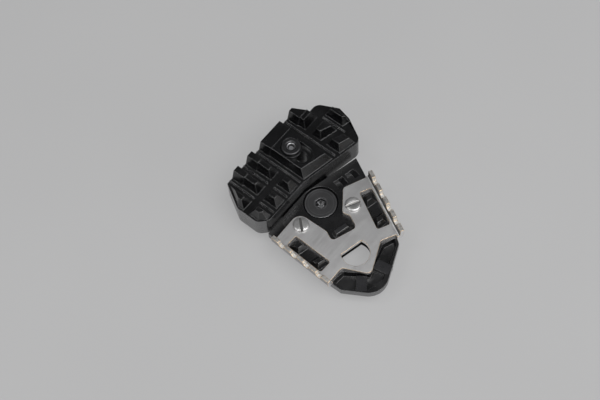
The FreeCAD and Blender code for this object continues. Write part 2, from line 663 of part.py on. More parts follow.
def carrier_cells(body):
    """Lugs in the tread plate's windows, two pits behind its right arm and a groove at the rear left."""
    def inner(y):
        return f"(window_in + ({y}) * window_step / window_long + lug_gap)"

    def outer(y):
        return f"({flange_face(y)} - bend_inner - window_band - lug_gap)"

    start, end = "(-window_tilt - lug_gap)", "(-window_long + lug_gap)"
    middle = f"(({start} + {end}) / 2)"
    for far, near in ((start, f"{middle} + lug_valley / 2"), (f"{middle} - lug_valley / 2", end)):
        right = [(inner(near), near), (outer(near), near), (outer(far), far), (inner(far), far)]
        left = [(f"-({x})", y) for x, y in (right[1], right[0], right[3], right[2])]
        for foot in (right, left):
            raised(body, "carrier_top", foot, "lug_rise", "lug_side", "lug_side", "lug_end", "lug_end")
    for column in range(2):
        start = f"(rear_cell_start + {column} * (rear_cell_wide + cell_rim))"
        mouth = four_corners(start, f"({start} + rear_cell_wide)", "rear_cell_near",
                              "rear_cell_near + rear_cell_long")
        pit(body, "carrier_top", mouth, "cell_deep", "cell_draft", "cell_slope", "cell_draft", "cell_draft")
    gutter = new_sketch(body, "carrier_top")
    edge = f"({NEST_LEFT} - cell_rim / cos(ext_turn))"
    polygon(gutter, [
        ("-gutter_out", f"{edge} - gutter_wide - gutter_out * tan(ext_turn)"),
        ("-gutter_in", f"{edge} - gutter_wide - gutter_in * tan(ext_turn)"),
        ("-gutter_in", f"{edge} - gutter_in * tan(ext_turn)"),
        ("-gutter_out", f"{edge} - gutter_out * tan(ext_turn)"),
    ])
    feature(body, "Pocket", gutter, "gutter_deep")


def carrier_nose(body):
    """Pocket along the rounded nose, crossed by two ribs that carry the tab's edge."""
    pocket = new_sketch(body, "carrier_top")
    back = "(-side_front - nose_back)"
    polygon(pocket, [
        (f"-{side(back)} + cell_rim", back),
        ("-cheek_half + cell_rim", "-cheek_left"),
        ("-nose_left - nose_round / 2", "-nose_front + nose_round / 2 + cell_rim"),
        ("-nose_left + nose_round / 2", "-nose_front + nose_round / 2 + cell_rim"),
        ("cheek_half - cell_rim", "-cheek_right"),
        (f"{side(back)} - cell_rim", back),
        ("fork_half", "-fork_front - cell_rim"),
        ("-tab_left", "-tab_front + cell_rim"),
        ("-fork_half", "-fork_front - cell_rim"),
    ])
    feature(body, "Pocket", pocket, "cell_deep", draw="-nose_draw")
    for x, y, turn in (("-rung_left_x", "-rung_left_y", "rung_left_turn"),
                       ("rung_right_x", "-rung_right_y", "rung_right_turn")):
        rung = new_sketch(body, CARRIER_BASE)
        angled(rung, x, y, turn, "rung_long", "rung_wide")
        feature(body, "Pad", rung, "carrier_thick")


def flange_face(y):
    """Inner face of the right flange at a place along the extension."""
    return f"(flange_half + ({y}) * tan(side_slant))"


def flange_profile(sketch):
    """Section of a flange: band, bend and upright wall, drawn outwards from its inner face."""
    band, bend = "-bend_inner - window_band", "-bend_inner"
    knee = "sheet + bend_inner"
    spots = [(band, "0"), (bend, "0"), ("sheet", knee), ("sheet", "flange_rise"), ("0", "flange_rise"),
             ("0", knee), (bend, "sheet"), (band, "sheet")]
    start = [FreeCAD.Vector(*spot, 0) for spot in
             ((-2, 0), (-1, 0), (1, 2), (1, 4), (0, 4), (0, 2), (-1, 1), (-2, 1))]
    heart, up = FreeCAD.Vector(-1, 2, 0), FreeCAD.Vector(0, 0, 1)
    quarter = (math.radians(270), math.radians(360))
    sketch.addGeometry([
        Part.LineSegment(start[0], start[1]),
        Part.ArcOfCircle(Part.Circle(heart, up, 2.0), *quarter),
        Part.LineSegment(start[2], start[3]),
        Part.LineSegment(start[3], start[4]),
        Part.LineSegment(start[4], start[5]),
        Part.ArcOfCircle(Part.Circle(heart, up, 1.0), *quarter),
        Part.LineSegment(start[6], start[7]),
        Part.LineSegment(start[7], start[0]),
    ], False)
    joins = [(0, 2, 1, 1), (1, 2, 2, 1), (2, 2, 3, 1), (3, 2, 4, 1), (4, 2, 5, 2), (5, 1, 6, 1), (6, 2, 7, 1),
             (7, 2, 0, 1)]
    for join in joins:
        sketch.addConstraint(Sketcher.Constraint("Coincident", *join))
    places = [(0, 1), (0, 2), (2, 1), (3, 1), (4, 1), (4, 2), (6, 1), (7, 1)]
    for (line, end), (x, y) in zip(places, spots):
        fix_point(sketch, line, end, x, y)
    for arc, radius in ((1, knee), (5, "bend_inner")):
        size = sketch.addConstraint(Sketcher.Constraint("Radius", arc, sketch.Geometry[arc].Radius))
        sketch.setExpression(f"Constraints[{size}]", bound(radius))


def tread_plate():
    """Sheet with two arms, two windows, a D-shaped hole, a nose tab and two flanges with notched tips."""
    body = new_body("tread_plate", EXTENSION_FRAME)

    def flat_end(y):
        return f"({flange_face(y)} - (bend_inner + window_band / 2) / cos(side_slant))"

    front = "(flange_rear - flange_long * cos(side_slant) + flange_lead)"
    outline = new_sketch(body, "carrier_top")
    polygon(outline, [
        (f"-{flat_end('arm_out')}", "arm_out"),
        (f"-{flat_end(front)}", front),
        ("-fork_half", "-fork_front"),
        ("-tab_left", "-tab_front"),
        ("fork_half", "-fork_front"),
        (flat_end(front), front),
        (flat_end("arm_out"), "arm_out"),
        ("arm_right_in", "arm_right_rear"),
        ("neck_right", "-neck_front"),
        ("notch_right", "-notch_knee"),
        ("notch_right - notch_tilt", "-notch_front"),
        ("-notch_left", "-notch_front + notch_tilt"),
        ("-neck_left", "-notch_knee"),
        ("-arm_left_in", "arm_left_rear"),
    ])
    flat = feature(body, "Pad", outline, "sheet")
    flat = round_corners(body, flat, outline, [2, 4, 7, 8, 9, 10, 11, 12], "sheet_round")
    flat = round_corners(body, flat, outline, [3], "tab_round")
    round_corners(body, flat, outline, [13], "arm_round")
    for sign, turn in (("", "-side_slant"), ("-", "180 + side_slant")):
        tread_side(body, sign, turn)
    dee(body, "carrier_top", "sheet", "0")
    for x, y in (("-stud_left_x", "stud_left_y"), ("stud_right_x", "-stud_right_y")):
        bore = new_sketch(body, "carrier_top + sheet")
        circle(bore, x, y, "stud_thread / 2 + hole_gap")
        feature(body, "Pocket", bore, "sheet")
    return body


def tread_side(body, sign, turn):
    """One side of the tread plate: its flange, its notches and its window."""
    rear = f"{sign}{flange_face('flange_rear')}"
    frame = (f"placement(vector({rear}; flange_rear; carrier_top);"
             f" rotation(vector(0; 0; 1); {turn}) * rotation(vector(1; 0; 0); 90))")
    section = new_sketch(body, frame=frame)
    flange_profile(section)
    feature(body, "Pad", section, "flange_long", reverse=bool(sign))

    notches = new_sketch(body, "carrier_top + flange_rise")
    for step in (-1.5, -0.5, 0.5, 1.5):
        along = f"(flange_long / 2 + {step} * tooth_pitch)"
        x = f"{flange_face('flange_rear')} - {along} * sin(side_slant) + sheet / 2 * cos(side_slant)"
        y = f"flange_rear - {along} * cos(side_slant) - sheet / 2 * sin(side_slant)"
        angled(notches, f"{sign}({x})", y, f"(90 - {sign}(side_slant))", "tooth_gap", "4 * sheet")
    feature(body, "Pocket", notches, "tooth_deep", draw="-tooth_draw")

    def outer(y):
        return f"({flange_face(y)} - bend_inner - window_band)"

    front = "(-window_long - window_tilt)"
    window = new_sketch(body, "carrier_top + sheet")
    polygon(window, [
        (f"{sign}(window_in - window_step)", "-window_long"),
        (f"{sign}{outer(front)}", front),
        (f"{sign}{outer('-window_tilt')}", "-window_tilt"),
        (f"{sign}(window_in)", "0"),
    ])
    opening = feature(body, "Pocket", window, "sheet")
    round_corners(body, opening, window, [0, 1, 2, 3], "window_round")


def tread_screw(label, x, y, turn):
    """Slotted cheese-head screw that holds one arm of the tread plate."""
    body = new_body(label, EXTENSION_FRAME)
    under = "(carrier_top + sheet)"
    turned(body, "Revolution", x, y, [
        ("0", "carrier_top - stud_bite"),
        ("stud_thread / 2", "carrier_top - stud_bite"),
        ("stud_thread / 2", under),
        ("stud_head / 2", under),
        ("stud_head / 2", f"{under} + stud_rise * stud_edge"),
        ("stud_head / 2 * stud_crown", f"{under} + stud_rise"),
        ("0", f"{under} + stud_rise"),
    ])
    groove = new_sketch(body, f"{under} + stud_rise")
    angled(groove, x, y, turn, "1.2 * stud_head", "stud_slot")
    feature(body, "Pocket", groove, "stud_slot_deep")
    return body


def clamp_screw():
    """Countersunk socket screw that closes the clamp."""
    body = new_body("clamp_screw", EXTENSION_FRAME)
    turned(body, "Revolution", "clamp_x", "clamp_y", [
        ("0", f"{GROUND} + screw_end"),
        ("clamp_thread / 2", f"{GROUND} + screw_end"),
        ("clamp_thread / 2", f"{HEAD_SEAT} - (clamp_head - clamp_thread) / 2"),
        ("clamp_head / 2", HEAD_SEAT),
        ("clamp_head / 2", f"{HEAD_SEAT} + head_land"),
        ("0", f"{HEAD_SEAT} + head_land"),
    ])
    socket = new_sketch(body, f"{HEAD_SEAT} + head_land")
    hexagon(socket, "clamp_x", "clamp_y", "clamp_key")
    feature(body, "Pocket", socket, "clamp_key_deep")
    bottom = f"({HEAD_SEAT} + head_land - clamp_key_deep)"
    turned(body, "Groove", "clamp_x", "clamp_y", [
        ("0", f"{bottom} - clamp_point"),
        ("clamp_key / 2", bottom),
        ("0", bottom),
    ])
    return body


def clamp_plate():
    """Lower jaw of the clamp, under the pad's lip and in front of its rails, with a pocket for the nut."""
    body = new_body("clamp_plate")
    outline = new_sketch(body, GROUND)
    rectangle(outline, f"{CLAMP_PAD_X} - clamp_wide / 2", f"{CLAMP_PAD_X} + clamp_wide / 2",
              f"{CLAMP_PAD_Y} - clamp_reach", "-core_front - nest_gap")
    slab = feature(body, "Pad", outline, "clamp_thick")
    round_corners(body, slab, outline, [0, 1, 2, 3], "clamp_round")
    bore = new_sketch(body, LIP_BASE)
    circle(bore, CLAMP_PAD_X, CLAMP_PAD_Y, "clamp_thread / 2 + plate_gap")
    feature(body, "Pocket", bore, "clamp_thick")
    pocket = new_sketch(body, GROUND)
    hexagon(pocket, CLAMP_PAD_X, CLAMP_PAD_Y, "nut_flats + 2 * nut_gap")
    feature(body, "Pocket", pocket, "clamp_thick - nut_roof", reverse=True)
    return body


def clamp_nut():
    """Thin hex nut in the clamp plate."""
    body = new_body("clamp_nut")
    outline = new_sketch(body, f"{LIP_BASE} - nut_roof - nut_thick")
    hexagon(outline, CLAMP_PAD_X, CLAMP_PAD_Y, "nut_flats")
    circle(outline, CLAMP_PAD_X, CLAMP_PAD_Y, "clamp_thread / 2 + thread_gap")
    feature(body, "Pad", outline, "nut_thick")
    return body


def slot_washer():
    """Plain washer in the slot's seat."""
    body = new_body("slot_washer")
    outline = new_sketch(body, f"{SLOT_SEAT} + seat_gap")
    circle(outline, "0", "0", "washer_wide / 2")
    circle(outline, "0", "0", "slot_thread / 2 + washer_gap")
    feature(body, "Pad", outline, "washer_thick")
    return body


def slot_screw():
    """Low-head socket screw that holds the pad on the lever."""
    body = new_body("slot_screw")
    under = f"({SLOT_SEAT} + seat_gap + washer_thick)"
    top = f"({under} + slot_rise)"
    turned(body, "Revolution", "0", "0", [
        ("0", f"{under} - slot_long"),
        ("slot_thread / 2", f"{under} - slot_long"),
        ("slot_thread / 2", "0"),
        ("slot_thread / 2 - slot_relief", "0"),
        ("slot_thread / 2 - slot_relief", under),
        ("slot_head / 2", under),
        ("slot_head / 2", f"{top} - slot_bevel"),
        ("slot_head / 2 - slot_bevel", top),
        ("slot_mouth / 2", top),
        ("slot_key / sqrt(3)", f"{top} - slot_cone"),
        ("0", f"{top} - slot_cone"),
    ])
    socket = new_sketch(body, f"{top} - slot_cone")
    hexagon(socket, "0", "0", "slot_key")
    feature(body, "Pocket", socket, "slot_key_deep")
    return body


pieces = [
    step_pad(),
    carrier(),
    tread_plate(),
    tread_screw("tread_screw_left", "-stud_left_x", "stud_left_y", "stud_left_turn"),
    tread_screw("tread_screw_right", "stud_right_x", "-stud_right_y", "stud_right_turn"),
    clamp_screw(),
    clamp_plate(),
    clamp_nut(),
    slot_screw(),
    slot_washer(),
]
doc.recompute()

for item in doc.Objects:
    if "Invalid" in item.State or "Error" in item.State:
        raise RuntimeError(f"{item.Name} did not build: {item.State}")
os.makedirs("parts", exist_ok=True)
for piece in pieces:
    shape = piece.Shape
    if shape.isNull() or not shape.isValid() or len(shape.Solids) != 1:
        raise RuntimeError(f"{piece.Label} is not one sound solid")
    shape.exportStep(f"parts/{piece.Label}.step")
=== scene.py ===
"""Looks of a motorbike brake pedal extension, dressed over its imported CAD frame."""
from math import cos, radians, sin

import bmesh
import bpy
from bpy.props import FloatProperty, FloatVectorProperty, PointerProperty
from mathutils import Matrix, Vector


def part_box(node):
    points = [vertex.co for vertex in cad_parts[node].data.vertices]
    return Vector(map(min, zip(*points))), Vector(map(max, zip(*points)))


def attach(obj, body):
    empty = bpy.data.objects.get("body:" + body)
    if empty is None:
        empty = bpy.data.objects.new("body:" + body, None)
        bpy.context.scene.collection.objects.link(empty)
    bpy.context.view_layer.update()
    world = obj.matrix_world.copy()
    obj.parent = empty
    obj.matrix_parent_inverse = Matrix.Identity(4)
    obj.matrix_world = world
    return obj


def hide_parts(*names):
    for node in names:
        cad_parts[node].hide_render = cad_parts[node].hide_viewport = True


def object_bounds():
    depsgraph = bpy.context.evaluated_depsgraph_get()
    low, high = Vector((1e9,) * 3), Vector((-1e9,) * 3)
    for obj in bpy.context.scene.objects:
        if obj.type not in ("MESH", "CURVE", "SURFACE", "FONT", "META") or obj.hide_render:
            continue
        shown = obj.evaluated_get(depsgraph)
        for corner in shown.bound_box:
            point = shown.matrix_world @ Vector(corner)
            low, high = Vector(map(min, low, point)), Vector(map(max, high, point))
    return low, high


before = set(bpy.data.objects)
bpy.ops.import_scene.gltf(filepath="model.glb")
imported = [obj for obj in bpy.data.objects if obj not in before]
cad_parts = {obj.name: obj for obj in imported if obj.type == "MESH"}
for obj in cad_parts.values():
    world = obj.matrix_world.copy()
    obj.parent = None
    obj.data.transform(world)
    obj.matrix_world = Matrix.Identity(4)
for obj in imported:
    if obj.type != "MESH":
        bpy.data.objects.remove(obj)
CAD_BOX = [list(corner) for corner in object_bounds()]

bl_info = {
    "name": "Brake Pedal Extension",
    "version": (1, 0, 0),
    "blender": (4, 5, 0),
    "location": "3D View > Sidebar > Pedal",
    "description": "Finishes a ribbed step pad with a clamped, toothed extension",
    "category": "Object",
}

# Bodies of the frame, and the attribute that keeps each point's place on its own screw
MAIN_BODY = "extension"
SLIDING_BODY = "slot_fastener"
SCREW_PLACE = "place_on_screw"

# Lie of the extension in the shared frame, in metres and radians
EXTENSION_PLACE = (-0.0130, -0.0329)
EXTENSION_TURN = radians(-15.0)
FLANGE_SLANT = radians(12.4)
CARRIER_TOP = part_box("tread_plate")[0][2]
SHEET_THICKNESS = 0.0020
SHEET_TOP = CARRIER_TOP + SHEET_THICKNESS

# Spots on the extension, from its own origin: the D-shaped eye, and the nose's ribs with their turns,
# whose tops get a painted highlight
EYE_CENTRE = (-0.0016, -0.0244)
NOSE_RIBS = (((-0.0086, -0.0382), radians(50.0)), ((0.0048, -0.0376), radians(115.0)))
NOSE_RIB_HALF = (0.0040, 0.0026, 0.0003)

# Where one finish ends and the next begins, for the painted shade in recesses, the painted highlight on
# the bar and the painted light and shade on the flanges: reaches from an axis, rises over the carrier or
# the sheet
CLAMP_RECESS_SHADE_REACH = 0.0089
EYE_RECESS_SHADE_REACH = 0.0082
RECESS_SHADE_MARGIN = 0.0002
BAR_RISE = (0.0005, 0.0020)
BEND_RISE = (0.0001, 0.0009)
TIP_DEPTH = 0.0004

# Parts of a face's unit normal that tell how the face lies
LEVEL = 0.95
MOSTLY_LEVEL = 0.7
ALONG_FLANGE = 0.6
NEARLY_UPRIGHT = 0.2
FACING_FRONT = -0.75

# Black finishes: refraction indices, shades against the plain black, and roughness or its change. The wall
# shade paints a reflection on upright faces, the rib and bar shades paint highlights on their tops, and
# the recess shade paints shade in recesses
BLACK_IOR = 1.75
PAD_IOR = 1.62
PAD_WALL_IOR = 2.6
CARRIER_WALL_IOR = 2.8
EDGE_IOR = 2.0
RECESS_SHADE_IOR = 1.2
WALL_PAINTED_REFLECTION = 4.0
BAR_PAINTED_HIGHLIGHT = 4.0
RIB_PAINTED_HIGHLIGHT = 4.5
RECESS_PAINTED_SHADE = 0.6
RECESS_SHADE_ROUGHNESS = 0.75
PAD_EDGE_GLOSS = 0.05
CARRIER_MATT = 0.02
BAR_HIGHLIGHT_MATT = 0.12

# Steel finishes: shades against the plain steel, and roughness or its change. The inner and outer face
# shades paint shade on the flanges
INNER_FACE_PAINTED_SHADE = 0.05
OUTER_FACE_PAINTED_SHADE = 0.42
# Painted shade in the tread screws' slots
SLOT_PAINTED_SHADE = 0.38
CUT_POLISH = 0.08
TIP_MATT = 0.04
NOTCH_MATT = 0.14
TREAD_SCREW_ROUGHNESS = 0.34

# Dark screws: rings of painted glints and painted shade, each as a reach and its brightness, from the axis
# outwards, and how their edges differ, lighter as a painted highlight
CLAMP_PAINTED_RINGS = ((0.0013, 2.0), (0.0030, 0.75), (0.0034, 1.5), (0.0062, 0.95), (0.0065, 1.25), (0.0073, 0.9),
               (0.0080, 1.3))
CLAMP_ROUGHNESS = 0.38
CLAMP_EDGE_HIGHLIGHT = 2.2
CLAMP_EDGE_ROUGHNESS = 0.30
OXIDE_PAINTED_RINGS = ((0.0012, 9.0), (0.0016, 0.3), (0.0021, 6.0), (0.0027, 0.6), (0.0060, 1.2))
OXIDE_ROUGHNESS = 0.36
OXIDE_EDGE_HIGHLIGHT = 1.4

# Range that a noise texture mostly stays in
NOISE_LOW = 0.3
NOISE_HIGH = 0.7

# Making of the meshes
MERGE_DISTANCE = 2e-6
FLAT_ANGLE = radians(0.6)
SHARP_ANGLE = radians(24.0)
SCREW_SHARP_ANGLE = radians(30.0)
EDGE_SEGMENTS = 2
FLAT_FACE_WEIGHT = 90
SCREW_EDGE_SHARE = 0.6
LATHE_SEGMENTS = 72

# Rim of a tread screw's head, from below: shares of the head's radius and of its height
HEAD_RIM = ((1.0, 0.0), (1.0, 0.60), (0.95, 0.88), (0.86, 1.0))

# Studio: lamps as name, place, size and watts, the surroundings, and the floor's reach and rise
LAMP_AIM = (-0.005, -0.030, 0.0)
LAMPS = (
    ("top_softbox", (-0.08, -0.42, 0.87), (0.70, 0.70), 5.3),
    ("front_softbox", (0.28, -0.85, 0.28), (0.90, 0.40), 1.2),
    ("side_softbox", (-0.70, 0.10, 0.55), (0.50, 0.30), 1.0),
    ("strip_softbox", (-0.26, 0.28, 0.90), (0.10, 0.40), 0.7),
)
WORLD_COLOUR = (0.98, 0.99, 1.0)
WORLD_STRENGTH = 0.088
FLOOR_SECTION = ((2.55, 1.30), (2.50, 0.45), (2.30, 0.12), (2.00, 0.0), (0.0, 0.0))
FLOOR_ROUGHNESS = 0.9
FLOOR_SPECULAR = 0.1

# Camera: its angles, and the pixels from the picture's middle to the extension's origin
CAMERA_TURN = radians(-45.6)
CAMERA_RISE = radians(63.06)
CAMERA_ROLL = radians(-6.0)
ORIGIN_RIGHT = 27.87
ORIGIN_DOWN = 14.17
PICTURE_WIDTH = 600.0
SENSOR_WIDTH = 36.0
NEAR_CLIP = 0.01


def colour(name, description, default):
    """Colour property with the settings that all finishes share."""
    return FloatVectorProperty(
        name=name, description=description, default=default, size=3, min=0.0, max=1.0, subtype="COLOR")


class PedalFinish(bpy.types.PropertyGroup):
    """Colours and roughness of the pedal's finishes."""

    pad_colour: colour("Pad", "Black of the step pad", (0.0045, 0.0045, 0.005))
    carrier_colour: colour("Carrier", "Black of the extension's base", (0.0045, 0.0045, 0.005))
    # Painted highlight: a lighter grey for the eased black edges
    edge_highlight_colour: colour("Edge highlight", "Grey that shows along the black edges", (0.022, 0.022, 0.024))
    steel_colour: colour("Tread steel", "Stainless sheet of the tread plate", (0.95, 0.935, 0.935))
    cut_colour: colour("Cut edge", "Warm tint on the sheet's cut edges", (0.90, 0.68, 0.46))
    # Painted light on the flanges' teeth: tips in a greyer tone, notches bright and warm as painted glints
    tip_painted_colour: colour("Tooth tip", "Sheared tips of the flanges' teeth", (0.74, 0.72, 0.69))
    notch_glint_colour: colour("Notch", "Bright notches between the teeth", (0.99, 0.94, 0.86))
    screw_colour: colour("Tread screws", "Bright steel of the slotted screws", (0.93, 0.92, 0.90))
    oxide_colour: colour("Black oxide", "Dark finish of the slot screw", (0.085, 0.085, 0.088))
    clamp_colour: colour("Clamp screw", "Grey-black finish of the clamp screw", (0.16, 0.16, 0.164))
    floor_colour: colour("Floor", "Pale floor under the pedal", (0.66, 0.66, 0.665))
    backdrop_colour: colour("Backdrop", "Grey that the floor and backdrop show", (0.47, 0.47, 0.472))
    pad_roughness: FloatProperty(
        name="Pad roughness", description="Roughness of the step pad",
        default=0.24, min=0.05, max=1.0, subtype="FACTOR")
    steel_roughness: FloatProperty(
        name="Steel roughness", description="Roughness of the tread plate",
        default=0.38, min=0.05, max=1.0, subtype="FACTOR")
    backdrop_share: FloatProperty(
        name="Backdrop share", description="How evenly the floor shows its backdrop grey",
        default=0.65, min=0.0, max=1.0, subtype="FACTOR")


class PedalSizes(bpy.types.PropertyGroup):
    """Sizes of the eased edges, the tread screws and the camera."""

    edge: FloatProperty(
        name="Edge", description="Width of the eased edges of the black pieces",
        default=0.00014, min=0.00005, max=0.001, subtype="DISTANCE", precision=5)
    sheet_edge: FloatProperty(
        name="Sheet edge", description="Width of the eased edges of the tread plate",
        default=0.00016, min=0.00003, max=0.0006, subtype="DISTANCE", precision=5)
    screw_head: FloatProperty(
        name="Screw head", description="Head diameter of the tread screws",
        default=0.0078, min=0.001, max=0.05, subtype="DISTANCE", precision=4)
    screw_thread: FloatProperty(
        name="Screw thread", description="Thread diameter of the tread screws",
        default=0.0040, min=0.001, max=0.05, subtype="DISTANCE", precision=4)
    screw_slot: FloatProperty(
        name="Screw slot", description="Width of the tread screws' slots",
        default=0.0012, min=0.0002, max=0.01, subtype="DISTANCE", precision=4)
    screw_slot_deep: FloatProperty(
        name="Slot depth", description="Depth of the tread screws' slots",
        default=0.0008, min=0.0001, max=0.01, subtype="DISTANCE", precision=4)
    left_slot_turn: FloatProperty(
        name="Left slot", description="Turn of the left screw's slot on the plate",
        default=radians(62.0), subtype="ANGLE")
    right_slot_turn: FloatProperty(
        name="Right slot", description="Turn of the right screw's slot on the plate",
        default=radians(-14.0), subtype="ANGLE")
    camera_distance: FloatProperty(
        name="Camera distance", description="Camera to the middle of the picture",
        default=0.56, min=0.1, max=5.0, subtype="DISTANCE")
    camera_lens: FloatProperty(
        name="Lens", description="Focal length in millimetres",
        default=69.0, min=10.0, max=300.0, subtype="DISTANCE_CAMERA")


class Wires:
    """Shorthand for building one material's node tree."""

    def __init__(self, name, base, roughness, metallic=0.0, specular=0.5):
        self.material = bpy.data.materials.new(name)
        self.material.use_nodes = True
        self.tree = self.material.node_tree
        self.shader = self.tree.nodes["Principled BSDF"]
        self.set("Base Color", (*base, 1.0))
        self.set("Roughness", roughness)
        self.set("Metallic", metallic)
        self.set("Specular IOR Level", specular)
        self.place = self.add("ShaderNodeTexCoord").outputs["Object"]

    def set(self, socket, value):
        """Plain value on the shader's own socket."""
        self.shader.inputs[socket].default_value = value

    def feed(self, output, socket):
        """Link into the shader."""
        self.link(output, self.shader.inputs[socket])

    def link(self, output, socket):
        """Link between any two sockets."""
        self.tree.links.new(output, socket)

    def add(self, kind, **inputs):
        """New node, with some of its inputs set by name."""
        node = self.tree.nodes.new(kind)
        for name, value in inputs.items():
            node.inputs[name.replace("_", " ")].default_value = value
        return node

    def reckon(self, kind, operation, *values):
        """Math node on sockets or plain values."""
        node = self.add(kind)
        node.operation = operation
        for socket, value in zip(node.inputs, values):
            if isinstance(value, bpy.types.NodeSocket):
                self.link(value, socket)
            else:
                socket.default_value = value
        return node

    def larger(self, first, second):
        """The larger of two factors."""
        return self.reckon("ShaderNodeMath", "MAXIMUM", first, second).outputs["Value"]

    def mapped(self, turn=(0.0, 0.0, 0.0), scale=(1.0, 1.0, 1.0), shift=(0.0, 0.0, 0.0)):
        """Object coordinates turned, stretched and shifted for a pattern."""
        node = self.add("ShaderNodeMapping", Location=shift, Rotation=turn, Scale=scale)
        self.link(self.place, node.inputs["Vector"])
        return node.outputs["Vector"]

    def reach(self, vector):
        """Distance of a place from its upright axis."""
        flat = self.reckon("ShaderNodeVectorMath", "MULTIPLY", vector, (1.0, 1.0, 0.0))
        return self.reckon("ShaderNodeVectorMath", "LENGTH", flat.outputs["Vector"]).outputs["Value"]

    def noise(self, vector, scale, detail=4.0, rough=0.55):
        """Cloudy factor on a place."""
        node = self.add("ShaderNodeTexNoise", Scale=scale, Detail=detail, Roughness=rough)
        self.link(vector, node.inputs["Vector"])
        return node.outputs["Fac"]

    def spread(self, factor, low, high, start=NOISE_LOW, end=NOISE_HIGH):
        """Factor turned into values between two numbers."""
        node = self.add("ShaderNodeMapRange", From_Min=start, From_Max=end, To_Min=low, To_Max=high)
        self.link(factor, node.inputs["Value"])
        return node.outputs["Result"]

    def tones(self, factor, base, dark, light):
        """Factor turned into shades of one colour, from dark times it to light times it."""
        ramp = self.add("ShaderNodeValToRGB")
        first, last = ramp.color_ramp.elements
        first.position, last.position = NOISE_LOW, NOISE_HIGH
        first.color, last.color = (*tinted(base, dark), 1.0), (*tinted(base, light), 1.0)
        self.link(factor, ramp.inputs["Fac"])
        return ramp.outputs["Color"]

    def vary_roughness(self, factor, roughness, low, high):
        """Roughness that wavers round its plain value."""
        self.feed(self.spread(factor, roughness + low, roughness + high), "Roughness")

    def inside(self, middle, turn, half, fade=0.92):
        """Factor that is 1 inside a turned box and fades to 0 at its sides."""
        node = self.add("ShaderNodeMapping", Location=middle, Rotation=(0.0, 0.0, turn), Scale=half)
        node.vector_type = "TEXTURE"
        self.link(self.place, node.inputs["Vector"])
        size = self.reckon("ShaderNodeVectorMath", "ABSOLUTE", node.outputs["Vector"])
        axes = self.add("ShaderNodeSeparateXYZ")
        self.link(size.outputs["Vector"], axes.inputs["Vector"])
        widest = self.larger(self.larger(axes.outputs["X"], axes.outputs["Y"]), axes.outputs["Z"])
        return self.spread(widest, 1.0, 0.0, start=fade, end=1.0)

    def blend(self, factor, first, second):
        """Mix of two colours, each a socket or a plain colour."""
        node = self.add("ShaderNodeMix")
        node.data_type = "RGBA"
        self.link(factor, node.inputs["Factor"])
        for name, value in (("A", first), ("B", second)):
            if isinstance(value, tuple):
                node.inputs[name].default_value = (*value, 1.0)
            else:
                self.link(value, node.inputs[name])
        return node.outputs["Result"]

    def bump(self, height, strength, distance):
        """Fine relief on the surface."""
        node = self.add("ShaderNodeBump", Strength=strength, Distance=distance)
        self.link(height, node.inputs["Height"])
        self.feed(node.outputs["Normal"], "Normal")


def tinted(base, factor):
    """A colour made darker or lighter."""
    return tuple(min(1.0, channel * factor) for channel in base)


def centre(node):
    """Middle of a CAD node's box."""
    low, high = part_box(node)
    return (Vector(low) + Vector(high)) / 2


def on_extension(spot):
    """Place on the carrier's top of a spot given from the extension's own origin."""
    turned = Matrix.Rotation(EXTENSION_TURN, 2) @ Vector(spot) + Vector(EXTENSION_PLACE)
    return Vector((turned.x, turned.y, CARRIER_TOP))


def satin_black(name, base, roughness, ior=BLACK_IOR, ribs=()):
    """Satin black with a fine grain and faint handling marks, and a painted highlight that lightens the
    tops of the given ribs.
    """
    made = Wires(name, base, roughness)
    made.set("IOR", ior)
    grain = made.noise(made.place, scale=2600.0, detail=3.0)
    patches = made.noise(made.place, scale=90.0, detail=5.0, rough=0.6)
    shade = made.tones(patches, base, dark=0.75, light=1.45)
    for spot, turn in ribs:
        top_highlight = made.inside(on_extension(spot), turn + EXTENSION_TURN, NOSE_RIB_HALF)
        shade = made.blend(top_highlight, shade, tinted(base, RIB_PAINTED_HIGHLIGHT))
    made.feed(shade, "Base Color")
    made.vary_roughness(patches, roughness, low=-0.07, high=0.10)
    made.bump(grain, strength=0.10, distance=0.00004)
    return made.material


def painted_edge_highlight(name, base, roughness):
    """Painted highlight along the eased edges: a lighter, shinier grey than the plain black."""
    made = Wires(name, base, roughness)
    made.set("IOR", EDGE_IOR)
    rub = made.noise(made.place, scale=420.0, detail=5.0, rough=0.65)
    made.feed(made.tones(rub, base, dark=0.45, light=1.5), "Base Color")
    made.vary_roughness(rub, roughness, low=-0.06, high=0.10)
    return made.material


def brushed_steel(name, base, roughness, turn):
    """Sheet steel with fine brushing across the plate and a few faint clouds."""
    made = Wires(name, base, roughness, metallic=1.0)
    along = made.mapped(turn=(0.0, 0.0, turn), scale=(60.0, 5200.0, 60.0))
    lines = made.noise(along, scale=1.0, detail=3.0, rough=0.6)
    clouds = made.noise(made.place, scale=110.0)
    made.feed(made.tones(clouds, base, dark=0.90, light=1.10), "Base Color")
    made.vary_roughness(lines, roughness, low=-0.05, high=0.09)
    made.bump(lines, strength=0.12, distance=0.00003)
    return made.material


def machined(name, base, roughness):
    """Turned metal with fine marks and a slightly uneven sheen."""
    made = Wires(name, base, roughness, metallic=1.0)
    marks = made.noise(made.mapped(scale=(900.0, 900.0, 4200.0)), scale=1.0, rough=0.6)
    made.feed(made.tones(marks, base, dark=0.82, light=1.15), "Base Color")
    made.vary_roughness(marks, roughness, low=-0.06, high=0.08)
    made.bump(marks, strength=0.08, distance=0.00003)
    return made.material


